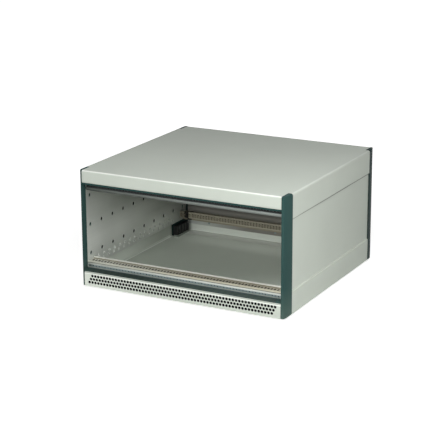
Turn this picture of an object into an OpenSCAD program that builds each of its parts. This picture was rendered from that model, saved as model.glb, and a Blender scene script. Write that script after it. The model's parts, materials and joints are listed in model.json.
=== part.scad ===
// Table-top case around a subrack three units high: folded sheet covers on four dark corner pillars.
// Millimetres, +Z up. The origin is the middle of the footprint on the ground; the front faces -Y.

/* [Case] */
// Width over the side skirts
body_w = 336; // [280:1:460]
// Depth over the front and rear aprons
body_d = 322; // [240:1:460]
// Height of the body without its feet
body_h = 177; // [165:1:240]
// Thickness of the painted sheets
sheet = 1.5; // [1:0.1:1.8]
// Outer bend radius of the roof and floor edges
bend_r = 3; // [2.2:0.1:5]
// Outer bend radius of the short return flanges
lip_r = 2.2; // [2:0.1:3]
// Height of the aprons of the top cover
apron_h = 19.1; // [17:0.1:30]
// Height of the vent strip and of the rear apron of the tray
vent_h = 22.2; // [20:0.1:30]
// Height of the side skirts of both covers
skirt_h = 35.6; // [30:0.1:50]
// Depth of the return flanges behind the apron and the vent strip
return_d = 9; // [6:0.1:10]
// Overlap of a side panel behind the skirts
panel_lap = 10; // [6:0.5:14]
// Gap where a cover ends beside a pillar
seam = 0.3; // [0.1:0.05:0.6]

/* [Pillars] */
// Width of a pillar seen from the front
pillar_w = 7; // [6.5:0.1:12]
// Depth of a pillar seen from the side
pillar_d = 22; // [16:0.5:30]
// Radius of the rounded front corner of a pillar
nose_r = 4; // [3:0.1:5]
// Length of the fixing tongue behind the side panel
tongue_l = 29; // [16:0.5:32]
// Depth of the groove that holds an edge of a side panel
panel_tuck = 1.5; // [1:0.1:2.5]

/* [Corner blocks] */
// Width of a ribbed corner block beside a pillar
block_w = 7; // [5:0.5:9]
// Length of a block
block_l = 36; // [20:0.5:40]
// Height of a block
block_h = 15; // [9:0.5:15.5]
// Depth of the grooves between the ribs of a block
rib_cut = 1; // [0.5:0.1:1.2]
// Height of the raised pad of the tray under a block
pad_h = 3.2; // [2:0.1:3.6]
// Plain rim of a pad round its block
pad_rim = 1.2; // [0.6:0.1:2]

/* [Side plates] */
// Distance of the panel plane behind the front face of the case
rack_in = 10; // [8:0.5:14]
// Clearance of the side plates below and above the opening edges
rack_gap = 1.6; // [1:0.1:3]
// Thickness of a side plate
plate_t = 1.2; // [1:0.1:2]
// Vertical pitch of the large holes, one rack unit
unit_u = 44.45; // [38:0.05:48]
// Distance between the columns of large holes, rounded to fill the plate
col_step = 31; // [24:0.5:40]
// Distance of the first column from the edge of the plate
col_in = 10.5; // [8:0.5:16]
// Diameter of the large holes
plate_hole = 6; // [3:0.1:6.4]
// Diameter of the small holes
guide_hole = 3; // [2:0.1:3.4]
// Distance of the inner row of small holes from the edge of the plate
row_in = 11.7; // [10.5:0.1:14]
// Distance of the outer row of small holes from the edge of the plate
row_out = 5.9; // [4:0.1:7]
// Plain length between a rail and the first small hole
row_start = 11.4; // [6:0.1:20]

/* [Rails] */
// Horizontal pitch of the rails, a fifth of an inch
pitch = 5.08; // [4.5:0.02:5.5]
// Depth of a rail
rail_d = 20; // [19:0.5:26]
// Height of a rail
rail_h = 12.2; // [11.5:0.1:14]
// Height of the fin at the back of a front rail
fin_h = 1.9; // [1.2:0.1:3]
// Height of the fin of a rear rail
rear_fin_h = 4.3; // [3:0.1:6]
// Height of the open recess under the inner side of a rear rail
under_h = 6; // [5:0.1:6.4]
// Thickness of a fin
fin_t = 1.8; // [1.2:0.1:2.4]
// Depth of the shallow groove along a front rail
groove_d = 1.2; // [0.6:0.1:1.6]
// Width of the land in front of the groove
land_w = 4; // [3.6:0.1:8]
// Width of the land between the groove and the fin
land_b = 1.4; // [1:0.1:2]
// Height of the panel fixing holes above the rail base
bore_z = 5; // [4.6:0.1:5.4]
// Core diameter of the panel threads
bore_d = 2.1; // [1.8:0.05:2.5]
// Height of a threaded strip
nut_h = 5.4; // [5:0.1:5.8]
// Thickness of a threaded strip
nut_t = 2.6; // [2:0.1:3.2]
// Thickness of the lips that hold a strip
lip_t = 1.4; // [1:0.1:1.8]
// Height of the bevel along the free edge of a front rail lip
lip_bevel = 1.8; // [1.2:0.1:2.2]
// Width and depth of the fine line beside the bevel
lip_line = 0.6; // [0.4:0.1:0.8]
// Height of the mouth between the lips
mouth_h = 4.2; // [3.4:0.1:4.8]
// Depth of the relief for screw tips behind a strip
tip_l = 3.8; // [2:0.1:4.2]
// Width of a slot in a rail
slot_w = 2.8; // [2:0.1:3.4]
// Length of a slot in the groove of a front rail
slot_l = 7; // [4:0.5:8]
// Height of the end screws above the base of a front rail
core_z = 5.2; // [4.6:0.1:5.6]

/* [Vent strip] */
// Thickness of the vent strip
vent_t = 1; // [0.8:0.1:1.6]
// Thickness of the filter mat behind the vent holes
mat_t = 2; // [1:0.1:4]
// Diameter of the vent holes
vent_hole = 4.2; // [2:0.1:4.4]
// Distance between vent rows
vent_row = 5.05; // [4.4:0.05:5.6]
// Height of the middle vent row
vent_mid = 11.65; // [10.5:0.05:12.5]
// Plain margin at both ends of the vent rows
vent_margin = 6; // [4:0.5:20]
// Straight height of the lip of the tray behind the vent strip
tray_lip = 1.4; // [0.8:0.1:2]

/* [Fittings] */
// Height of a trim bar
trim_h = 3.2; // [2.6:0.1:3.6]
// Distance of a trim bar behind the front face
trim_in = 1.8; // [0.5:0.1:3]
// Width of the step along the front edge of a trim bar
trim_step = 1.6; // [1:0.1:2.4]
// Thickness of the rear panel
rear_t = 2; // [1.5:0.1:3]
// Overlap of the rear panel behind the rear aprons
rear_lap = 9.6; // [8.4:0.1:11]
// Distance of the outer rear screws from the pillars
rear_screw_in = 40; // [15:1:80]
// Thread diameter of the case screws
screw_d = 4; // [3:0.1:4.4]
// Thread diameter of the tray screws
small_d = 2.5; // [2:0.1:3]
// Length of the screws in the rail ends
rail_screw_l = 14; // [10:0.5:20]
// Length of the screws in the rear panel
rear_screw_l = 3.4; // [3:0.1:10]
// Length of the screws in the tray
tray_screw_l = 12; // [6:0.5:16]
// Height of a foot
foot_h = 4; // [2:0.1:10]
// Diameter of a foot
foot_d = 16; // [10:0.5:24]
// Width of the bevel round a foot
foot_bevel = 0.8; // [0.4:0.1:0.9]
// Distance of a foot centre from the sides of the tray
foot_in = 42; // [34:1:60]
// Small clearance between fitted pieces
fit = 0.1; // [0.05:0.05:0.3]

/* [Hidden] */
$fn = 48;
in_x = body_w/2 - pillar_w;
cover_x = in_x - seam;
cover_y = pillar_d + seam;
rack_z = vent_h + rack_gap;
rack_h = body_h - apron_h - vent_h - 2*rack_gap;
rack_d = body_d - 2*rack_in;
mid_z = rack_z + rack_h/2;
panel_x = body_w/2 - 2*sheet;
panel_z = skirt_h - panel_lap;
tongue_u = pillar_w - 2*sheet - fit;
block_v = max(return_d + 1, pillar_d + tongue_l - block_l);
block_z = sheet + pad_h;
arc_r = (pillar_w*pillar_w + pillar_d*pillar_d - 2*pillar_d*nose_r)/(2*pillar_w - 2*nose_r);
arc_u = pillar_w - arc_r;
join_v = nose_r + nose_r*(nose_r - pillar_d)/(arc_r - nose_r);
bore_n = floor((2*in_x - 1)/pitch);
vent_n = floor((2*in_x - 2*vent_margin - pitch)/pitch);
chan_p = lip_t + nut_t + 2*fit;
core_p = rail_d - fin_t - screw_d/2 - 0.6;
cell_p = chan_p + tip_l + 1.6;
cell_w = core_p - screw_d/2 - 1 - cell_p;
slot_p = cell_p + cell_w/2;
arm_z = (under_h + rail_h)/2;
rear_y = body_d - sheet - rear_t;
rear_z = vent_h - rear_lap;
rear_h = body_h - apron_h + rear_lap - rear_z;
col_n = round((rack_d - 2*col_in)/col_step) + 1;
col_pitch = (rack_d - 2*col_in)/(col_n - 1);
row_pitch = 3*pitch;
row_shift = 0.76*row_pitch;
row_n = floor((rack_d - 2*rail_d - 2*row_start - row_shift)/row_pitch) + 1;

cover_rgb = [0.80, 0.81, 0.77];
dark_rgb = [0.22, 0.28, 0.29];
metal_rgb = [0.72, 0.73, 0.71];
bronze_rgb = [0.55, 0.52, 0.45];
steel_rgb = [0.62, 0.63, 0.65];
rubber_rgb = [0.10, 0.10, 0.10];
block_rgb = [0.07, 0.07, 0.07];
mat_rgb = [0.05, 0.05, 0.05];

// Body frame: y runs back from the front face, z runs up from the underside of the tray
module place() {
  translate([0, -body_d/2, foot_h]) children();
}

// A flat section (y, z) drawn out along x, centred
module along_x(length) {
  translate([-length/2, 0, 0]) rotate([90, 0, 90]) linear_extrude(length) children();
}

// A flat section (x, z) drawn out along y from y0 to y1
module along_y(y0, y1) {
  translate([0, y1, 0]) rotate([90, 0, 0]) linear_extrude(y1 - y0) children();
}

// Bend of a sheet, the quarter ring at the upper left
module bend(r, t) {
  intersection() {
    difference() {
      circle(r);
      circle(r - t);
    }
    translate([-2*r, 0]) square(2*r);
  }
}

// Roof section from front to back: roof, aprons and the return flange under the front apron
module roof_section() {
  z0 = body_h - apron_h;
  translate([bend_r, body_h - sheet]) square([body_d - 2*bend_r, sheet]);
  translate([bend_r, body_h - bend_r]) bend(bend_r, sheet);
  translate([0, z0 + lip_r]) square([sheet, apron_h - bend_r - lip_r]);
  translate([lip_r, z0 + lip_r]) rotate(90) bend(lip_r, sheet);
  translate([lip_r, z0]) square([return_d - lip_r, sheet]);
  translate([body_d - bend_r, body_h - bend_r]) rotate(-90) bend(bend_r, sheet);
  translate([body_d - sheet, z0]) square([sheet, apron_h - bend_r]);
}

// Section across a cover: plate at the bottom with two upright skirts
module skirt_section() {
  translate([-body_w/2 + bend_r, 0]) square([body_w - 2*bend_r, sheet]);
  for (s = [0, 1]) mirror([s, 0]) {
    translate([bend_r - body_w/2, bend_r]) rotate(90) bend(bend_r, sheet);
    translate([-body_w/2, bend_r]) square([sheet, skirt_h - bend_r]);
  }
}

// Floor section from front to back: lip behind the vent strip, floor and rear apron
module floor_section() {
  translate([vent_t, bend_r]) square([sheet, tray_lip]);
  translate([vent_t + bend_r, bend_r]) rotate(90) bend(bend_r, sheet);
  translate([vent_t + bend_r, 0]) square([body_d - vent_t - 2*bend_r, sheet]);
  translate([body_d - bend_r, bend_r]) rotate(180) bend(bend_r, sheet);
  translate([body_d - sheet, bend_r]) square([sheet, vent_h - bend_r]);
}

// Countersunk seat: the head is flush with y = 0, the axis runs to +y, and way clears a path for it
module seat(d, length, way = 0.01) {
  head = 0.85*d + fit/2;
  rotate([-90, 0, 0]) cylinder(h = length, r = d/2 + fit);
  rotate([-90, 0, 0]) cylinder(h = 0.35*d, r1 = head, r2 = d/2 + fit/2);
  translate([0, -way, 0]) rotate([-90, 0, 0]) cylinder(h = way, r = head);
}

// Countersunk screw with a hexagon socket, head flush with y = 0, axis to +y
module screw(d, length) {
  difference() {
    union() {
      rotate([-90, 0, 0]) cylinder(h = 0.35*d, r1 = 0.85*d - fit/2, r2 = d/2 - fit/2);
      translate([0, d/6, 0]) rotate([-90, 0, 0]) cylinder(h = length - d/6, r = d/2);
    }
    translate([0, -0.1, 0]) rotate([-90, 0, 0]) cylinder(h = 0.1 + d/4, r = 0.3*d, $fn = 6);
  }
}

module rear_screw_spots() {
  for (x = [-1, 0, 1], z = [rear_z + rear_lap/2, rear_z + rear_h - rear_lap/2])
    translate([x*(in_x - rear_screw_in), body_d, z]) rotate([0, 0, 180]) children();
}

module tray_screw_spots() {
  for (s = [-1, 1], y = [pillar_d + 0.51*tongue_l, body_d - pillar_d - 0.51*tongue_l])
    translate([s*(in_x - block_w/2), y, 0]) rotate([90, 0, 0]) children();
}

module rail_screw_spots() {
  ends = [[rack_in + core_p, core_z], [body_d - rack_in - core_p, arm_z]];
  for (s = [-1, 1], a = ends, z = [a[1], rack_h - a[1]])
    translate([s*(in_x + tongue_u), a[0], rack_z + z]) rotate([0, 0, s*90]) children();
}

module top_cover() color(cover_rgb) place() difference() {
  union() {
    along_x(2*cover_x) roof_section();
    along_y(cover_y, body_d - cover_y) translate([0, body_h]) mirror([0, 1]) skirt_section();
  }
  rear_screw_spots() seat(screw_d, sheet + rear_t + 1);
}

// Raised pad of the tray that carries the front right block
module block_pad() {
  translate([in_x - block_w - pad_rim, block_v - pad_rim, sheet/2])
    cube([block_w + pad_rim - seam, pillar_d + tongue_l - block_v + 2*pad_rim, sheet/2 + pad_h]);
}

module bottom_cover() color(cover_rgb) place() difference() {
  union() {
    along_x(2*cover_x) floor_section();
    along_y(cover_y, body_d - cover_y) skirt_section();
    for (s = [0, 1]) mirror([s, 0, 0]) {
      block_pad();
      flip_y() block_pad();
    }
  }
  rear_screw_spots() seat(screw_d, sheet + rear_t + 1);
  tray_screw_spots() seat(small_d, tray_screw_l);
}

// Perforated web with its return flange under the lower trim
module vent_strip() color(cover_rgb) place() union() {
  along_y(0, vent_t) difference() {
    translate([-cover_x, 0]) square([2*cover_x, vent_h - lip_r]);
    for (r = [-1, 0, 1], i = [0 : vent_n - 1])
      translate([pitch*(i - (vent_n - 1)/2 + r/2), vent_mid + r*vent_row]) circle(vent_hole/2, $fn = 24);
  }
  along_x(2*cover_x) {
    translate([lip_r, vent_h - lip_r]) bend(lip_r, vent_t);
    translate([lip_r, vent_h - vent_t]) square([return_d - lip_r, vent_t]);
  }
}

// Dark mat behind the vent holes, between the lip of the tray and the bend of the strip
module filter_mat() color(mat_rgb) place() {
  z0 = bend_r + tray_lip + fit;
  translate([1 - cover_x, vent_t, z0]) cube([2*cover_x - 2, mat_t, vent_h - lip_r - fit - z0]);
}

module side_panel() {
  translate([panel_x, pillar_d - panel_tuck, panel_z])
    cube([sheet, body_d - 2*pillar_d + 2*panel_tuck, body_h - 2*panel_z]);
}

module left_side_panel() color(cover_rgb) place() mirror([1, 0, 0]) side_panel();

module right_side_panel() color(cover_rgb) place() side_panel();

module rear_panel() color(bronze_rgb) place() difference() {
  translate([-cover_x, rear_y, rear_z]) cube([2*cover_x, rear_t, rear_h]);
  rear_screw_spots() seat(screw_d, sheet + rear_t + 1);
}

// Outer section of a pillar: u runs outward, v runs back; two arcs meet in a common tangent
module pillar_section() {
  intersection() {
    translate([arc_u, pillar_d]) circle(arc_r, $fn = 240);
    translate([0, join_v]) square([pillar_w + 1, pillar_d - join_v]);
  }
  intersection() {
    translate([0, nose_r]) circle(nose_r, $fn = 64);
    translate([0, -1]) square([nose_r + 1, join_v + 1]);
  }
}

// Upright outline from x = -1 to w whose two corners at w are rounded
module round_end(w, h, r) {
  translate([-1, 0]) square([w + 1 - r, h]);
  translate([-1, r]) square([w + 1, h - 2*r]);
  for (z = [r, h - r]) translate([w - r, z]) circle(r);
}

// Outer form of a pillar, with ends rounded like the bends of the covers beside it
module pillar_form() intersection() {
  linear_extrude(body_h) pillar_section();
  along_y(-1, pillar_d + 1) round_end(pillar_w, body_h, bend_r);
  along_x(4*pillar_w) translate([pillar_d, 0]) mirror([1, 0]) round_end(pillar_d, body_h, bend_r/2);
}

// Right pillar at the front: u = 0 lies on its inner face, and its tongue runs back beside the plate
module pillar() {
  difference() {
    union() {
      pillar_form();
      translate([plate_t, pillar_d - 1, bend_r])
        cube([tongue_u - plate_t, tongue_l + 1, body_h - 2*bend_r]);
    }
    translate([-1, rack_in, rack_z - fit]) cube([1 + plate_t, pillar_d, rack_h + 2*fit]);
    translate([tongue_u, pillar_d - panel_tuck - fit, panel_z - fit])
      cube([sheet + 2*fit, panel_tuck + 1, body_h - 2*panel_z + 2*fit]);
  }
}

module pillar_right() difference() {
  translate([in_x, 0, 0]) pillar();
  rail_screw_spots() seat(screw_d, rail_screw_l, pillar_w);
}

module pillar_rear() difference() {
  translate([in_x, body_d, 0]) mirror([0, 1, 0]) pillar();
  rail_screw_spots() seat(screw_d, rail_screw_l, pillar_w);
}

module front_right_pillar() color(dark_rgb) place() pillar_right();

module front_left_pillar() color(dark_rgb) place() mirror([1, 0, 0]) pillar_right();

module rear_right_pillar() color(dark_rgb) place() pillar_rear();

module rear_left_pillar() color(dark_rgb) place() mirror([1, 0, 0]) pillar_rear();

// Ribbed block at the front right, on its pad beside the pillar and its tongue
module block() difference() {
  v1 = pillar_d + tongue_l;
  deep = v1 - block_v;
  translate([in_x, 0, block_z]) linear_extrude(min(block_h, rack_z - seam - block_z)) difference() {
    union() {
      translate([-block_w, block_v]) square([block_w, deep]);
      translate([-1, max(block_v, pillar_d)]) square([1 + plate_t, v1 - max(block_v, pillar_d)]);
    }
    for (i = [0 : 3])
      translate([-block_w - 1, block_v + deep*(0.08 + 0.25*i)]) square([1 + rib_cut, 0.11*deep]);
  }
  tray_screw_spots() seat(small_d, tray_screw_l + 1);
}

module front_right_block() color(block_rgb) place() block();

module front_left_block() color(block_rgb) place() mirror([1, 0, 0]) block();

module rear_right_block() color(block_rgb) place() flip_y() block();

module rear_left_block() color(block_rgb) place() flip_y() mirror([1, 0, 0]) block();

// Lower trim bar with a step and a bevel along its front edge
module trim() {
  top = vent_h + trim_h;
  drop = trim_h/5;
  along_x(2*in_x - 2*fit) polygon([[trim_in, vent_h], [rack_in, vent_h], [rack_in, top],
    [trim_in + trim_step, top], [trim_in + trim_step, top - drop], [trim_in + drop, top - drop],
    [trim_in, top - 2*drop]]);
}

module flip_z() translate([0, 0, 2*mid_z]) mirror([0, 0, 1]) children();

module flip_y() translate([0, body_d, 0]) mirror([0, 1, 0]) children();

module front_bottom_trim() color(dark_rgb) place() trim();

module front_top_trim() color(dark_rgb) place() flip_z() trim();

// Right side plate: rows of large holes one U apart, and two rows of small holes near each long edge
module plate() translate([in_x, rack_in, rack_z]) rotate([90, 0, 90]) linear_extrude(plate_t) difference() {
  square([rack_d, rack_h]);
  for (i = [0 : col_n - 1], r = [-1, 0, 1])
    translate([col_in + i*col_pitch, rack_h/2 + r*unit_u]) circle(plate_hole/2, $fn = 32);
  for (i = [0 : row_n - 1], s = [-1, 1])
    translate([rail_d + row_start + i*row_pitch, rack_h/2]) {
      translate([0, s*(rack_h/2 - row_in)]) circle(guide_hole/2, $fn = 24);
      translate([row_shift, s*(rack_h/2 - row_out)]) circle(guide_hole/2, $fn = 24);
    }
  for (a = [[core_p, core_z], [rack_d - core_p, arm_z]], q = [a[1], rack_h - a[1]])
    translate([a[0], q]) circle(screw_d/2 + fit, $fn = 32);
}

module left_side_plate() color(metal_rgb) place() mirror([1, 0, 0]) plate();

module right_side_plate() color(metal_rgb) place() plate();

// Channel for a threaded strip, with its mouth and a relief for screw tips.
// In a rail section p runs back from the panel plane and q runs up from the base
module strip_channel() {
  translate([-1, bore_z - mouth_h/2]) square([1 + lip_t, mouth_h]);
  translate([lip_t, bore_z - nut_h/2 - fit]) square([chan_p - lip_t, nut_h + 2*fit]);
  translate([chan_p - 1, bore_z - bore_d*2/3]) square([1 + tip_l, bore_d*4/3]);
}

// Section of a front rail: bevelled lip, land, groove and fin
module rail_section() difference() {
  groove_e = rail_d - fin_t - land_b;
  line_q = rail_h - lip_bevel;
  polygon([[0, 0], [rail_d, 0], [rail_d, rail_h + fin_h], [rail_d - fin_t, rail_h + fin_h],
    [rail_d - fin_t, rail_h], [groove_e, rail_h], [groove_e, rail_h - groove_d],
    [land_w, rail_h - groove_d], [land_w, rail_h], [1.4*lip_bevel, rail_h], [0, line_q],
    [lip_line, line_q], [lip_line, line_q - lip_line], [0, line_q - lip_line]]);
  strip_channel();
  translate([cell_p, fin_t]) square([cell_w, rail_h - groove_d - 2 - fin_t]);
  translate([core_p, core_z]) circle(screw_d/2 + fit, $fn = 32);
}

// Section of a rear rail: an arm with a tall fin over an open recess
module rear_section() difference() {
  polygon([[0, 0], [cell_p, 0], [cell_p, under_h], [rail_d, under_h], [rail_d, rail_h + rear_fin_h],
    [rail_d - fin_t, rail_h + rear_fin_h], [rail_d - fin_t, rail_h], [lip_t/3, rail_h],
    [0, rail_h - lip_t/3]]);
  strip_channel();
  translate([core_p, arm_z]) circle(screw_d/2 + fit, $fn = 32);
}

// Lower front rail with a row of slots in its groove
module rail() translate([0, rack_in, rack_z]) difference() {
  along_x(2*in_x) rail_section();
  for (i = [0 : bore_n - 1])
    translate([pitch*(i - (bore_n - 1)/2) - slot_w/2, slot_p - slot_l/2, rail_h - groove_d - 3])
      cube([slot_w, slot_l, 4]);
}

// Lower rear rail seen in the front frame, with a row of slots in its fin
module slot_rail() translate([0, rack_in, rack_z]) difference() {
  along_x(2*in_x) rear_section();
  for (i = [0 : bore_n - 1])
    translate([pitch*(i - (bore_n - 1)/2) - slot_w/2, rail_d - fin_t - 0.2, under_h + 2.2])
      cube([slot_w, fin_t + 1, rail_h + 0.35*rear_fin_h - under_h - 2.2]);
}

module front_bottom_rail() color(metal_rgb) place() rail();

module front_top_rail() color(metal_rgb) place() flip_z() rail();

module rear_bottom_rail() color(bronze_rgb) place() flip_y() slot_rail();

module rear_top_rail() color(bronze_rgb) place() flip_y() flip_z() slot_rail();

// Threaded strip in the panel channel of the lower front rail
module strip() {
  translate([0, rack_in + lip_t, rack_z + bore_z]) along_y(fit, fit + nut_t) difference() {
    translate([-cover_x, -nut_h/2]) square([2*cover_x, nut_h]);
    for (i = [0 : bore_n - 1])
      translate([pitch*(i - (bore_n - 1)/2), 0]) circle(bore_d/2, $fn = 24);
  }
}

module front_bottom_strip() color(steel_rgb) place() strip();

module front_top_strip() color(steel_rgb) place() flip_z() strip();

module rear_bottom_strip() color(steel_rgb) place() flip_y() strip();

module rear_top_strip() color(steel_rgb) place() flip_y() flip_z() strip();

module rail_screws() color(steel_rgb) place() rail_screw_spots() screw(screw_d, rail_screw_l);

module rear_screws() color(steel_rgb) place() rear_screw_spots() screw(screw_d, rear_screw_l);

module tray_screws() color(steel_rgb) place() tray_screw_spots() screw(small_d, tray_screw_l);

module foot() rotate_extrude($fn = 48) polygon([[0, 0], [foot_d/2 - 2*foot_bevel, 0],
  [foot_d/2 - foot_bevel, foot_bevel/2], [foot_d/2, foot_h - foot_bevel], [foot_d/2, foot_h], [0, foot_h]]);

module foot_at(sx, sy)
  translate([sx*(body_w/2 - foot_in), sy*(body_d/2 - foot_in), 0]) foot();

module front_left_foot() color(rubber_rgb) foot_at(-1, -1);

module front_right_foot() color(rubber_rgb) foot_at(1, -1);

module rear_left_foot() color(rubber_rgb) foot_at(-1, 1);

module rear_right_foot() color(rubber_rgb) foot_at(1, 1);

top_cover();
bottom_cover();
vent_strip();
filter_mat();
left_side_panel();
right_side_panel();
rear_panel();
front_left_pillar();
front_right_pillar();
rear_left_pillar();
rear_right_pillar();
front_left_block();
front_right_block();
rear_left_block();
rear_right_block();
front_top_trim();
front_bottom_trim();
left_side_plate();
right_side_plate();
front_top_rail();
front_bottom_rail();
rear_top_rail();
rear_bottom_rail();
front_top_strip();
front_bottom_strip();
rear_top_strip();
rear_bottom_strip();
rail_screws();
rear_screws();
tray_screws();
front_left_foot();
front_right_foot();
rear_left_foot();
rear_right_foot();
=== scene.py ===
import json
import math

import bpy
import numpy as np
from mathutils import Matrix, Vector


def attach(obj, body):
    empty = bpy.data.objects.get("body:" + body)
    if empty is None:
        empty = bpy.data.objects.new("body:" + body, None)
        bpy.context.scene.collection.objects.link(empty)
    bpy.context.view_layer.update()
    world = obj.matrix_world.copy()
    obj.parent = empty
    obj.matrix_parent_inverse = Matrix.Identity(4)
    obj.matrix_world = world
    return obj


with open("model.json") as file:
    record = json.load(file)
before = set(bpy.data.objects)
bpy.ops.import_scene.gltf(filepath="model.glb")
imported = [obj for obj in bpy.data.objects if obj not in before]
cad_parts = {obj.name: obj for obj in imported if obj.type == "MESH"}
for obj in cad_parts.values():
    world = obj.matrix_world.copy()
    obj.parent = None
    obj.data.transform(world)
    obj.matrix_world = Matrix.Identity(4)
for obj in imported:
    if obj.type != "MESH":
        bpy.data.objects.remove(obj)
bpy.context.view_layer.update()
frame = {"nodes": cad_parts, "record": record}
nodes = frame["nodes"]
mm = 0.001
print("frame loaded,", len(nodes), "CAD nodes")


# colour and node helpers

bandEdgeMm = 0.15  # half width of a plain end of a tone band
noiseSpan = (0.3, 0.7)  # most of a noise lies between these
bevelSamples = 4


def linear(code):
    # sRGB hex to linear light
    srgb = np.array([int(code[i:i + 2], 16) for i in (1, 3, 5)]) / 255
    light = np.where(srgb <= 0.04045, srgb / 12.92, ((srgb + 0.055) / 1.055) ** 2.4)
    return (*map(float, light), 1.0)


def addNode(tree, kind, links=None, **settings):
    # links maps an input socket to a value or to another node's output
    node = tree.nodes.new(kind)
    for name, value in settings.items():
        setattr(node, name, value)
    for socket, source in (links or {}).items():
        if isinstance(source, bpy.types.NodeSocket):
            tree.links.new(source, node.inputs[socket])
        else:
            node.inputs[socket].default_value = source
    return node


def newMaterial(name):
    material = bpy.data.materials.new(name)
    material.use_nodes = True
    material.node_tree.nodes.clear()
    return material, material.node_tree


def perMetre(sizeMm):
    # texture scale whose features are about this many millimetres wide
    return 1 / (sizeMm * mm)


def band(colour, **ranges):
    # a tone over a box: ranges along x, y and z in millimetres; a third value softens both ends
    return {"colour": colour, "ranges": ranges}


def banded(tree, place, colour, bands):
    # mixes in the colour of each band where all of its ranges hold
    axes = addNode(tree, "ShaderNodeSeparateXYZ", {0: place})
    for patch in bands:
        inside = 1.0
        for axis, (low, high, *soft) in patch["ranges"].items():
            blur = soft[0] if soft else bandEdgeMm
            for end, before, after in ((low, 0.0, 1.0), (high, 1.0, 0.0)):
                step = addNode(tree, "ShaderNodeMapRange", {
                    "Value": axes.outputs[axis.upper()],
                    "From Min": (end - blur) * mm, "From Max": (end + blur) * mm,
                    "To Min": before, "To Max": after})
                inside = addNode(tree, "ShaderNodeMath", {
                    0: inside, 1: step.outputs[0]}, operation="MULTIPLY").outputs[0]
        colour = addNode(tree, "ShaderNodeMix", {
            0: inside, 6: colour, 7: linear(patch["colour"])}, data_type="RGBA").outputs[2]
    return colour


# painted steel sheet and painted aluminium pillars

coverPaint = {
    "name": "powderCoatedSteelLight",
    "light": "#CED5CB",
    "dark": "#C8CFC5",
    "blotchMm": 70,  # slow drift of film thickness
    "grainMm": 1.3,  # the true grain is about 0.3 mm, drawn coarser so that it shows
    "grainDepthMm": 0.006,
    "roughness": (0.44, 0.56),
    "specular": 0.12,
    "edgeMm": 0.2,
    "fold": "#F6F9F3",  # painted highlight along a fold, where the bend catches the light
    "foldRise": (0.45, 0.75),  # how far the surface looks up where a fold begins
    "foldFall": (0.97, 0.998),  # and where it runs out into the level sheet
    "foldAhead": (-0.4, -0.1),  # from folds that look forward to folds along the sides
    "sideFold": 0.25,  # share of the painted highlight that folds along the sides get
}
trayPaint = {
    **coverPaint,
    "name": "powderCoatedSteelTray",
    # the painted fold highlight in full along the sides of the tray too
    "sideFold": 1.0,
    "bands": [
        band("#DDE3D9", z=(38.7, 40)),  # painted highlight on the upper edge of the side skirts
        band("#DCE2D9", x=(-167.3, -160), z=(9, 38)),  # painted light inside the left skirt
        band("#B2B8AF", x=(-167.3, -160), y=(20, 500, 60), z=(9, 38)),  # painted shade, darker to the rear
        band("#DCE2D9", x=(160, 167.3), z=(9, 38)),  # painted light inside the right skirt
        band("#7F867E", x=(-163, 163), y=(-150, 150), z=(5.9, 9.2)),  # painted shade at the height of the block pads
        band("#F2F6EF", x=(-163, 163), y=(136, 157, 4), z=(4.5, 5.8)),  # painted light on the floor under the rear rail
        band("#D5DBD2", x=(-166, 166), y=(157.6, 160.3), z=(6, 40)),  # painted light on the inner face of the apron
    ],
}
ventPaint = {
    **coverPaint,
    "name": "powderCoatedSteelPunched",
    "punched": "#343833",  # painted shade on the walls of the punched holes
    "punchedMm": (5, 23),  # heights between which the holes lie
    "punchedTilt": 0.3,  # how far a hole wall may turn from square to the front
    "fold": "#CED5CB",  # no painted highlight on the bend of this thin strip
    "bands": [
        band("#E6ECE2", x=(-500, -110, 60)),  # painted light at the left end
        band("#EFF3EB", z=(22.8, 26, 0.4)),  # painted light towards the bend
        band("#4C534D", z=(24.9, 40)),  # painted shade on the top of the bend, under the trim
    ],
}
sidePaint = {
    **coverPaint,
    "name": "powderCoatedSteelSides",
    "bands": [
        band("#DDE3D9", z=(39, 41)),  # painted highlight in the seam over the tray
        band("#747B74", z=(143.3, 146)),  # painted shadow in the seam under the top cover
        band("#9BA299", y=(-500, -60, 60), z=(143.3, 146)),  # the painted shadow is fainter to the front
        band("#101313", x=(-165.6, 165.6)),  # painted shade on the hidden inner side, so that the plate holes look dark
    ],
}
pillarPaint = {
    "name": "powderCoatedAluminiumDark",
    "light": "#334E4B",
    "dark": "#2D4644",
    "blotchMm": 45,
    "grainMm": 1.1,  # drawn coarser than the true grain, as on the covers
    "grainDepthMm": 0.008,
    "roughness": (0.46, 0.58),
    "specular": 0.05,
    "edgeMm": 0.3,
    "bands": [
        band("#4F635C", z=(-200, 22, 26)),  # painted light, paler near the ground
        band("#434F4B", x=(-152, 152), z=(24, 34)),  # the lower trim is greyer
        band("#2C3733", x=(-152, -20, 70), z=(24, 34)),  # painted shade, darker to the left
        band("#1F2725", x=(-152, 152), z=(24, 26.5)),  # and dark along its lower edge
        band("#1B2E2C", y=(60, 500, 2)),  # painted shade: the rear pair is a little darker
        band("#0E1213", x=(-166, 166), y=(-138.8, -100)),  # painted shade on the hidden fixing tongues
    ],
}


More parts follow.
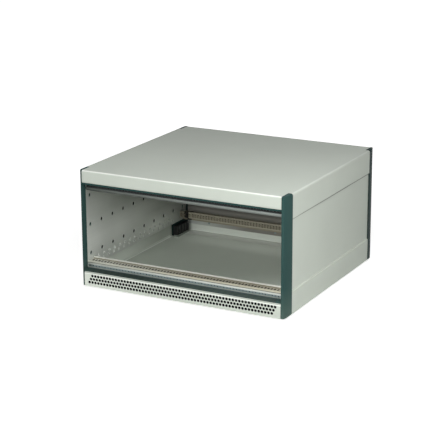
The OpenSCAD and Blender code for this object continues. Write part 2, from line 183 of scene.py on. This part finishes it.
def powderCoat(s):
    # an even satin film: faint drift in tone, fine orange peel, edges that the film rounds over
    material, tree = newMaterial(s["name"])
    place = addNode(tree, "ShaderNodeTexCoord").outputs["Object"]
    blotch = addNode(tree, "ShaderNodeTexNoise", {
        "Vector": place, "Scale": perMetre(s["blotchMm"]), "Detail": 2.0})
    grain = addNode(tree, "ShaderNodeTexNoise", {
        "Vector": place, "Scale": perMetre(s["grainMm"]), "Detail": 3.0, "Roughness": 0.55})
    tone = addNode(tree, "ShaderNodeMix", {
        0: blotch.outputs["Fac"], 6: linear(s["dark"]), 7: linear(s["light"])}, data_type="RGBA")
    colour = banded(tree, place, tone.outputs[2], s.get("bands", []))
    if "punched" in s:
        # painted shade on the wall of a hole, which stands square to the front, at the height of
        # the hole rows
        facing = addNode(tree, "ShaderNodeSeparateXYZ", {
            0: addNode(tree, "ShaderNodeNewGeometry").outputs["Normal"]}).outputs
        square = addNode(tree, "ShaderNodeMath", {
            0: facing["Y"], 1: 0.0, 2: s["punchedTilt"]}, operation="COMPARE")
        height = addNode(tree, "ShaderNodeSeparateXYZ", {0: place}).outputs["Z"]
        low, high = (v * mm for v in s["punchedMm"])
        within = addNode(tree, "ShaderNodeMath", {
            0: height, 1: (low + high) / 2, 2: (high - low) / 2}, operation="COMPARE")
        wall = addNode(tree, "ShaderNodeMath", {
            0: square.outputs[0], 1: within.outputs[0]}, operation="MULTIPLY")
        colour = addNode(tree, "ShaderNodeMix", {
            0: wall.outputs[0], 6: colour, 7: linear(s["punched"])}, data_type="RGBA").outputs[2]
    if "fold" in s:
        # painted highlight on a fold, where the surface turns between level and upright
        facing = addNode(tree, "ShaderNodeSeparateXYZ", {
            0: addNode(tree, "ShaderNodeNewGeometry").outputs["Normal"]}).outputs
        ahead = addNode(tree, "ShaderNodeMapRange", {
            "Value": facing["Y"], "From Min": s["foldAhead"][0], "From Max": s["foldAhead"][1],
            "To Min": 1.0, "To Max": s["sideFold"]})
        rise = addNode(tree, "ShaderNodeMapRange", {
            "Value": facing["Z"], "From Min": s["foldRise"][0], "From Max": s["foldRise"][1]})
        fall = addNode(tree, "ShaderNodeMapRange", {
            "Value": facing["Z"], "From Min": s["foldFall"][0], "From Max": s["foldFall"][1],
            "To Min": 1.0, "To Max": 0.0})
        turn = addNode(tree, "ShaderNodeMath", {
            0: rise.outputs[0], 1: fall.outputs[0]}, operation="MULTIPLY")
        foldHighlight = addNode(tree, "ShaderNodeMath", {
            0: turn.outputs[0], 1: ahead.outputs[0]}, operation="MULTIPLY")
        colour = addNode(tree, "ShaderNodeMix", {
            0: foldHighlight.outputs[0], 6: colour, 7: linear(s["fold"])}, data_type="RGBA").outputs[2]
    rough = addNode(tree, "ShaderNodeMapRange", {
        "Value": grain.outputs["Fac"], "From Min": noiseSpan[0], "From Max": noiseSpan[1],
        "To Min": s["roughness"][0], "To Max": s["roughness"][1]})
    edge = addNode(tree, "ShaderNodeBevel", {"Radius": s["edgeMm"] * mm}, samples=bevelSamples)
    peel = addNode(tree, "ShaderNodeBump", {
        "Height": grain.outputs["Fac"], "Normal": edge.outputs["Normal"],
        "Strength": 1.0, "Distance": s["grainDepthMm"] * mm})
    shader = addNode(tree, "ShaderNodeBsdfPrincipled", {
        "Base Color": colour, "Roughness": rough.outputs[0],
        "Normal": peel.outputs["Normal"], "IOR": 1.5, "Specular IOR Level": s["specular"]})
    addNode(tree, "ShaderNodeOutputMaterial", {"Surface": shader.outputs[0]})
    return material


# sheet, extruded and plated metal

plateMetal = {
    "name": "satinAluminiumSheet",
    "light": "#D8DCD6",
    "dark": "#CACEC8",
    "bands": [
        band("#828680", y=(70, 500, 120)),  # painted shade, darker to the rear
        band("#EEF0EC", y=(-128, 0, 60), z=(46, 82, 24)),  # painted light low in the middle
        band("#E2E5DF", y=(0, 90, 40), z=(26, 54, 12)),  # painted light also along the lower edge behind it
        band("#B2B6B0", z=(112, 500, 40)),  # painted shade, darker to the top
        band("#5A5E58", y=(-60, 500, 30), z=(115, 500, 30)),  # painted shade, most of all behind
    ],
    "streakMm": (90, 1.6),  # rolling marks: length and spacing
    "along": "Y",
    "streakDepthMm": 0.004,
    "cloudMm": 55,  # slow change in gloss
    "roughness": (0.46, 0.60),
    "metallic": 0.5,
    "edgeMm": 0.15,
}
railMetal = {
    "name": "extrudedAluminium",
    "light": "#C3C6BF",
    "dark": "#B0B2AB",
    "bands": [
        band("#59686A", z=(0, 30.6)),  # painted shade on the lower lip, in the corner over the trim
        band("#C8CDC6", y=(-152, -150.9), z=(34.8, 37.6)),  # painted highlight on the lip
        band("#BDBAA6", y=(-150.7, -147.2)),  # painted light on the bevel and land, cream
        band("#6E6E64", y=(-151.5, -150.2), z=(37.5, 38.4)),  # painted shade in the fine line over the lip
        band("#A8A494", y=(-146.9, -133.2)),  # the groove is darker and warmer
        band("#4A463D", y=(-146.9, -133.2), z=(20, 38.5)),  # painted shade inside the slots
        band("#827D6E", y=(-134.8, -133.4)),  # rear wall of the groove
        band("#D6D9D1", y=(-133, -120)),  # painted highlight on the fin
        # painted light and shade at the left end: the lip is duller, the land and the groove are
        # paler
        band("#9EA39B", x=(-500, -60, 70), y=(-152, -150.9), z=(34.8, 37.6)),
        band("#C3C5B8", x=(-500, -60, 70), y=(-150.7, -147.2), z=(38.4, 60)),
        band("#DCDDD2", x=(-500, -60, 70), y=(-146.9, -134.8), z=(38.5, 60)),
    ],
    "streakMm": (140, 0.9),  # die lines along the extrusion
    "along": "X",
    "streakDepthMm": 0.005,
    "cloudMm": 55,
    "roughness": (0.40, 0.54),
    "metallic": 0.4,
    "edgeMm": 0.2,
}
# a painted-shade copy of the rail finish, for the top rail in the shade of the apron
topRailMetal = {
    **railMetal,
    "name": "extrudedAluminiumShaded",
    "light": "#949A96",
    "dark": "#868C88",
    "bands": [band("#4E544F", x=(-500, 10, 150))],  # painted shade, darker to the left
    "roughness": (0.46, 0.60),
}
rearRailMetal = {
    "name": "passivatedAluminium",
    "light": "#9C9787",
    "dark": "#8A8575",
    "bands": [
        band("#9E9989", z=(42.8, 46)),  # painted highlight on the upper edge
        band("#ABA695", z=(33.6, 35.4)),  # painted highlight on the lower edge
        band("#24221E", x=(-165, -145)),  # darker near both ends
        band("#24221E", x=(145, 165)),
        band("#7A7567", x=(-165, -152.5)),  # and lighter again at the very ends
        band("#7A7567", x=(152.5, 165)),
    ],
    "streakMm": (110, 1.8),
    "along": "X",
    "streakDepthMm": 0.004,
    "cloudMm": 55,
    "roughness": (0.46, 0.60),
    "metallic": 0.6,
    "edgeMm": 0.2,
}
rearPanelMetal = {
    **rearRailMetal,
    "name": "coatedAluminiumSheet",
    "light": "#6F6E6A",
    "dark": "#64635F",
    "bands": [
        band("#888680", y=(100, 158), z=(0, 45.5, 3)),  # painted light on the inner face, paler low down
        band("#A9A7A0", y=(100, 158), z=(31, 42, 4)),  # painted light, palest beside the rail
        band("#BFC4BE", x=(-200, -95, 40), y=(100, 158), z=(0, 31, 4)),  # painted light, also low on the left
    ],
    "roughness": (0.50, 0.62),
}
fastenerSteel = {
    "name": "zincPlatedSteel",
    "light": "#94A2A3",
    "dark": "#829091",
    "streakMm": (30, 0.8),
    "along": "X",
    "streakDepthMm": 0.003,
    "cloudMm": 55,
    "roughness": (0.32, 0.46),
    "metallic": 0.9,
    "edgeMm": 0.1,
}
# a painted-shade copy of the plated steel, for the strip in the shade of the top trim
shadedPlatedSteel = {
    **fastenerSteel,
    "name": "zincPlatedSteelShaded",
    "light": "#262B2B",
    "dark": "#1C2020",
    "roughness": (0.50, 0.62),
    "metallic": 0.4,
}


def streakedMetal(s):
    # bare metal: long fine streaks break up the gloss along the rolling or drawing direction
    material, tree = newMaterial(s["name"])
    place = addNode(tree, "ShaderNodeTexCoord").outputs["Object"]
    run, fine = (perMetre(size) for size in s["streakMm"])
    stretch = [run if axis == s["along"] else fine for axis in "XYZ"]
    stretched = addNode(tree, "ShaderNodeMapping", {"Vector": place, "Scale": stretch})
    streak = addNode(tree, "ShaderNodeTexNoise", {
        "Vector": stretched.outputs[0], "Scale": 1.0, "Detail": 3.0, "Roughness": 0.6})
    cloud = addNode(tree, "ShaderNodeTexNoise", {
        "Vector": place, "Scale": perMetre(s["cloudMm"]), "Detail": 2.0})
    tone = addNode(tree, "ShaderNodeMix", {
        0: streak.outputs["Fac"], 6: linear(s["dark"]), 7: linear(s["light"])}, data_type="RGBA")
    colour = banded(tree, place, tone.outputs[2], s.get("bands", []))
    rough = addNode(tree, "ShaderNodeMapRange", {
        "Value": cloud.outputs["Fac"], "From Min": noiseSpan[0], "From Max": noiseSpan[1],
        "To Min": s["roughness"][0], "To Max": s["roughness"][1]})
    edge = addNode(tree, "ShaderNodeBevel", {"Radius": s["edgeMm"] * mm}, samples=bevelSamples)
    lines = addNode(tree, "ShaderNodeBump", {
        "Height": streak.outputs["Fac"], "Normal": edge.outputs["Normal"],
        "Strength": 1.0, "Distance": s["streakDepthMm"] * mm})
    shader = addNode(tree, "ShaderNodeBsdfPrincipled", {
        "Base Color": colour, "Metallic": s["metallic"], "Roughness": rough.outputs[0],
        "Normal": lines.outputs["Normal"]})
    addNode(tree, "ShaderNodeOutputMaterial", {"Surface": shader.outputs[0]})
    return material


# black moulded and foamed pieces

footRubber = {
    "name": "mouldedRubber",
    "light": "#232426",
    "dark": "#1A1B1C",
    "grainMm": 0.9,
    "grainDepthMm": 0.02,
    "roughness": (0.70, 0.85),
    "specular": 0.2,
}
blockPlastic = {
    "name": "mouldedPolyamide",
    "light": "#191B1B",
    "dark": "#121414",
    "grainMm": 0.7,
    "grainDepthMm": 0.012,
    "roughness": (0.38, 0.50),
    "specular": 0.35,
}
# painted shade: a black backing behind the vent holes, so that they look dark
filterFoam = {
    "name": "openCellFoam",
    "light": "#17181A",
    "dark": "#060607",
    "grainMm": 1.2,  # the true pores are about 0.6 mm, drawn coarser so that they show
    "grainDepthMm": 0.35,
    "roughness": (0.90, 1.0),
    "specular": 0.1,
}


def mouldedBlack(s):
    # matt black with the faint grain of its mould, or the open pores of a foam
    material, tree = newMaterial(s["name"])
    place = addNode(tree, "ShaderNodeTexCoord").outputs["Object"]
    grain = addNode(tree, "ShaderNodeTexNoise", {
        "Vector": place, "Scale": perMetre(s["grainMm"]), "Detail": 2.0})
    tone = addNode(tree, "ShaderNodeMix", {
        0: grain.outputs["Fac"], 6: linear(s["dark"]), 7: linear(s["light"])}, data_type="RGBA")
    rough = addNode(tree, "ShaderNodeMapRange", {
        "Value": grain.outputs["Fac"],
        "To Min": s["roughness"][0], "To Max": s["roughness"][1]})
    bump = addNode(tree, "ShaderNodeBump", {
        "Height": grain.outputs["Fac"], "Strength": 1.0, "Distance": s["grainDepthMm"] * mm})
    shader = addNode(tree, "ShaderNodeBsdfPrincipled", {
        "Base Color": tone.outputs[2], "Roughness": rough.outputs[0],
        "Normal": bump.outputs["Normal"], "Specular IOR Level": s["specular"]})
    addNode(tree, "ShaderNodeOutputMaterial", {"Surface": shader.outputs[0]})
    return material


# finish of each record slot, and of the pieces that look unlike the rest of their slot

finishes = {
    "cover_paint": powderCoat(coverPaint),
    "pillar_paint": powderCoat(pillarPaint),
    "plain_aluminium": streakedMetal(plateMetal),
    "passivated_aluminium": streakedMetal(rearRailMetal),
    "fastener_steel": streakedMetal(fastenerSteel),
    "foot_rubber": mouldedBlack(footRubber),
    "block_plastic": mouldedBlack(blockPlastic),
    "filter_foam": mouldedBlack(filterFoam),
}
ownFinish = {
    "bottom_cover": powderCoat(trayPaint),
    "vent_strip": powderCoat(ventPaint),
    "front_bottom_rail": streakedMetal(railMetal),
    "front_top_rail": streakedMetal(topRailMetal),
    "front_top_strip": streakedMetal(shadedPlatedSteel),
    "rear_panel": streakedMetal(rearPanelMetal),
}
ownFinish["left_side_panel"] = ownFinish["right_side_panel"] = powderCoat(sidePaint)
slotOf = {row["node"]: row["material_slot"] for row in frame["record"]["subparts"]}
for name, node in nodes.items():
    node.data.materials.clear()
    node.data.materials.append(ownFinish.get(name, finishes[slotOf[name]]))
print("finishes set on", len(nodes), "nodes")


# raised rims round the small holes of the side plates, in millimetres

rimSettings = {
    "inner": 161.0,  # inner face of a side plate
    "first": -119.6,  # foremost hole of a row
    "step": 15.24,
    "count": 15,
    "rows": ((0.0, 39.5), (11.58, 33.7)),  # shift along the plate and height, lower edge
    "middle": 94.05,  # the upper edge mirrors the lower one about this height
    "holeRadius": 1.5,
    "rimWidth": 1.0,
    "rimHeight": 0.45,
    "turns": 24,  # steps round a rim
    "arcs": 6,  # steps across it
}
# painted highlight: the rims are drawn much paler than the plate they are pressed from
rimMetal = {
    **plateMetal,
    "name": "pressedAluminiumRim",
    "light": "#F2F4EF",
    "dark": "#E4E7E1",
    "bands": [band("#AEB2AC", y=(20, 500, 90))],  # painted shade, darker to the rear
    "streakMm": (20, 0.8),
    "streakDepthMm": 0.001,
    "metallic": 0.3,
}


def plateRims(s):
    # a rim is a ring round its hole: the angle runs round it, the radius grows across it, and
    # the height over the plate is half a sine wave of the way across
    turns, arcs = s["turns"], s["arcs"]
    angle = np.linspace(0, 2 * np.pi, turns, endpoint=False)[:, None]
    across = np.linspace(0, 1, arcs + 1)[None, :]
    radius = s["holeRadius"] + s["rimWidth"] * across
    height = np.broadcast_to(s["rimHeight"] * np.sin(np.pi * across), (turns, arcs + 1))
    along = s["first"] + s["step"] * np.arange(s["count"])
    spots = np.array([(side, y + shift, z) for side in (-1, 1) for shift, low in s["rows"]
                      for z in (low, 2 * s["middle"] - low) for y in along])
    side, y, z = spots.T[:, :, None]
    points = np.stack([side * (s["inner"] - height.ravel()),
                       y + (radius * np.cos(angle)).ravel(),
                       z + (radius * np.sin(angle)).ravel()], -1)
    i, j = np.meshgrid(np.arange(turns), np.arange(arcs), indexing="ij")
    here, beside = i * (arcs + 1) + j, (i + 1) % turns * (arcs + 1) + j
    cells = np.stack([here, beside, beside + 1, here + 1], -1).reshape(-1, 4)
    firstPoint = np.arange(len(spots))[:, None, None] * points.shape[1]
    # the left plate mirrors the right one, so its faces run the other way
    faces = np.where(side[:, :, None] > 0, cells, cells[:, ::-1]) + firstPoint
    mesh = bpy.data.meshes.new("plateRims")
    mesh.from_pydata((points.reshape(-1, 3) * mm).tolist(), [], faces.reshape(-1, 4).tolist())
    mesh.polygons.foreach_set("use_smooth", np.ones(len(mesh.polygons), bool))
    mesh.materials.append(streakedMetal(rimMetal))
    rims = bpy.data.objects.new("plateRims", mesh)
    bpy.context.scene.collection.objects.link(rims)
    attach(rims, "root")
    return len(spots)


print("plate rims:", plateRims(rimSettings))


# floor and world, in metres

stageSettings = {
    "floorHalf": 6.0,
    "floorColour": "#F4F4F2",
    "glow": (0.76, 1.0),  # plain white that eye and reflections see on the floor, near and far
    "glowReach": (0.30, 0.80),  # distances from the middle between which it rises
    "skyStrength": 0.05,
}


def seenDirectly(tree):
    # 1 for the eye and for rays in reflections or through clear things, 0 for diffuse light
    path = addNode(tree, "ShaderNodeLightPath")
    seen = addNode(tree, "ShaderNodeMath", {
        0: path.outputs["Is Camera Ray"], 1: path.outputs["Is Glossy Ray"]}, operation="MAXIMUM")
    return addNode(tree, "ShaderNodeMath", {
        0: seen.outputs[0], 1: path.outputs["Is Transmission Ray"]},
        operation="MAXIMUM").outputs[0]


def paleFloor(s):
    # matt paper that keeps the shadow, with a white glow that only eye and reflections see
    half = s["floorHalf"]
    corners = [(-half, -half, 0), (half, -half, 0), (half, half, 0), (-half, half, 0)]
    mesh = bpy.data.meshes.new("studioFloor")
    mesh.from_pydata(corners, [], [(0, 1, 2, 3)])
    floor = bpy.data.objects.new("studioFloor", mesh)
    bpy.context.scene.collection.objects.link(floor)
    material, tree = newMaterial("paleFloorPaper")
    paper = addNode(tree, "ShaderNodeBsdfDiffuse", {"Color": linear(s["floorColour"])})
    place = addNode(tree, "ShaderNodeTexCoord").outputs["Object"]
    away = addNode(tree, "ShaderNodeVectorMath", {0: place}, operation="LENGTH")
    rise = addNode(tree, "ShaderNodeMapRange", {
        "Value": away.outputs["Value"],
        "From Min": s["glowReach"][0], "From Max": s["glowReach"][1],
        "To Min": s["glow"][0], "To Max": s["glow"][1]}, interpolation_type="SMOOTHSTEP")
    glow = addNode(tree, "ShaderNodeMath", {
        0: seenDirectly(tree), 1: rise.outputs[0]}, operation="MULTIPLY")
    white = addNode(tree, "ShaderNodeEmission", {
        "Color": (1, 1, 1, 1), "Strength": glow.outputs[0]})
    both = addNode(tree, "ShaderNodeAddShader", {0: paper.outputs[0], 1: white.outputs[0]})
    addNode(tree, "ShaderNodeOutputMaterial", {"Surface": both.outputs[0]})
    mesh.materials.append(material)


def studioWorld(s):
    # white to the eye and in reflections, a weak sky as a light
    world = bpy.data.worlds.new("studioWorld")
    bpy.context.scene.world = world
    world.use_nodes = True
    tree = world.node_tree
    tree.nodes.clear()
    strength = addNode(tree, "ShaderNodeMapRange", {
        "Value": seenDirectly(tree), "To Min": s["skyStrength"], "To Max": 1.0})
    sky = addNode(tree, "ShaderNodeBackground", {
        "Color": (1, 1, 1, 1), "Strength": strength.outputs[0]})
    addNode(tree, "ShaderNodeOutputWorld", {"Surface": sky.outputs[0]})


paleFloor(stageSettings)
studioWorld(stageSettings)
print("floor and world set")


# softboxes: place, point they face, width and height in metres, radiance
# those without gloss give soft light only and show in no reflection

caseMiddle = (0, 0, 0.09)
softboxes = {
    "frontLow": {
        "at": (0.10, -2.40, 0.70), "aim": caseMiddle, "size": (1.0, 1.0), "radiance": 6.4},
    "frontRight": {
        "at": (0.95, -1.35, 1.20), "aim": caseMiddle, "size": (1.2, 1.2), "radiance": 1.7},
    "overFront": {
        "at": (0.34, -0.26, 0.56), "aim": (0.1, -0.1, 0.17), "size": (0.3, 0.3),
        "radiance": 4.5},
    "overEdge": {
        "at": (-0.12, -0.28, 0.50), "aim": (-0.12, -0.16, 0.17), "size": (0.4, 0.15),
        "radiance": 1.5},
    "rightNear": {
        "at": (0.60, -0.42, 0.25), "aim": (0.1, -0.1, 0.09), "size": (0.4, 0.4),
        "radiance": 1.9},
    "backLow": {
        "at": (-0.60, 2.20, 0.40), "aim": caseMiddle, "size": (1.4, 0.7),
        "radiance": 3.0, "gloss": False},
    "insideRear": {
        "at": (0, 0.118, 0.142), "aim": (0, 0.130, 0), "size": (0.28, 0.02),
        "radiance": 1.75, "gloss": False},
    "insideLow": {
        "at": (0, 0.098, 0.039), "aim": (0, 0.158, 0.020), "size": (0.28, 0.02),
        "radiance": 0.4, "gloss": False},
    "insideRight": {
        "at": (0.157, -0.09, 0.050), "aim": (-0.161, -0.09, 0.050), "size": (0.12, 0.05),
        "radiance": 3.4, "gloss": False},
}
for name, s in softboxes.items():
    lamp = bpy.data.lights.new(name, "AREA")
    lamp.shape = "RECTANGLE"
    lamp.size, lamp.size_y = s["size"]
    lamp.energy = s["radiance"] * math.pi * lamp.size * lamp.size_y
    box = bpy.data.objects.new(name, lamp)
    box.location = s["at"]
    box.rotation_euler = (Vector(s["aim"]) - box.location).to_track_quat("-Z", "Y").to_euler()
    box.visible_camera = False
    box.visible_glossy = s.get("gloss", True)
    bpy.context.scene.collection.objects.link(box)
print("lit by", len(softboxes), "softboxes")


# camera at the photograph's angle

cameraSettings = {
    "eye": (1.00159, -1.94445, 0.73023),
    "azimuth": 27.592,
    "elevation": 16.523,
    "roll": -0.205,
    "focalPixels": 1504.5,
    "imagePixels": 444,
    "sensorMm": 36,
}


def photoCamera(s):
    az, el, roll = (math.radians(s[k]) for k in ("azimuth", "elevation", "roll"))
    back = Vector((math.sin(az) * math.cos(el), -math.cos(az) * math.cos(el), math.sin(el)))
    right = Vector((math.cos(az), math.sin(az), 0))
    up = back.cross(right)
    right, up = (right * math.cos(roll) + up * math.sin(roll),
                 up * math.cos(roll) - right * math.sin(roll))
    lens = bpy.data.cameras.new("photoCamera")
    lens.sensor_width = s["sensorMm"]
    lens.lens = s["focalPixels"] / s["imagePixels"] * s["sensorMm"]
    camera = bpy.data.objects.new("photoCamera", lens)
    turn = Matrix((right, up, back)).transposed()
    camera.matrix_world = Matrix.Translation(s["eye"]) @ turn.to_4x4()
    bpy.context.scene.collection.objects.link(camera)
    bpy.context.scene.camera = camera


photoCamera(cameraSettings)
bpy.context.scene.view_settings.view_transform = "Standard"
print("camera set")
